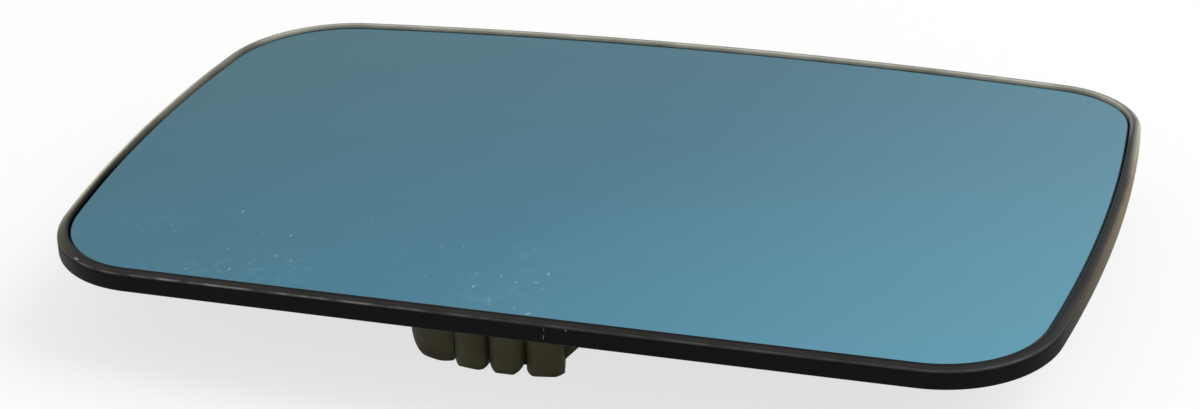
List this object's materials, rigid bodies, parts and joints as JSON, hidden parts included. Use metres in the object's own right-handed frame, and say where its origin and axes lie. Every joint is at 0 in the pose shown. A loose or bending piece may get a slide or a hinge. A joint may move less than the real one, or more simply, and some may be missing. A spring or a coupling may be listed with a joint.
{
  "type": "car door mirror glass",
  "caption": "Convex blue-tinted heated mirror glass for a car's door mirror, in a moulded holder with a rim, snap hooks and a toothed twist-lock ring on its back.",
  "frame": {"origin": "on the twist-lock ring's axis, at the hub face that seats against the mirror's adjuster", "axes": "+Z out of the reflecting face, +Y to the edge that is on top on the car, +X along the glass to the end that lies on the right in the picture"},
  "size_m": [0.1653, 0.1039, 0.0184],
  "materials": {
    "tinted_mirror": "polished blue-tinted mirror",
    "heater_film": "printed polyester film",
    "adhesive": "acrylic foam sheet",
    "black_plastic": "fine-grained moulded ABS, worn at its edges",
    "natural_plastic": "natural nylon, yellowed",
    "tinned_brass": "tinned, dull",
    "rivet_metal": "as pressed"
  },
  "bodies": {
    "holder": {"mirror_glass": "tinted_mirror", "heater_foil": "heater_film", "adhesive_sheet": "adhesive", "glass_holder": "black_plastic", "terminal_upper": "tinned_brass", "terminal_lower": "tinned_brass", "terminal_rivets": "rivet_metal"},
    "ring": {"locking_ring": "natural_plastic"}
  },
  "joints": [
    {"name": "ring_turn", "type": "hinge", "parent": "holder", "child": "ring", "pos_m": [0, 0, 0], "axis": [0, 0, 1], "range_deg": [0, 24]}
  ]
}
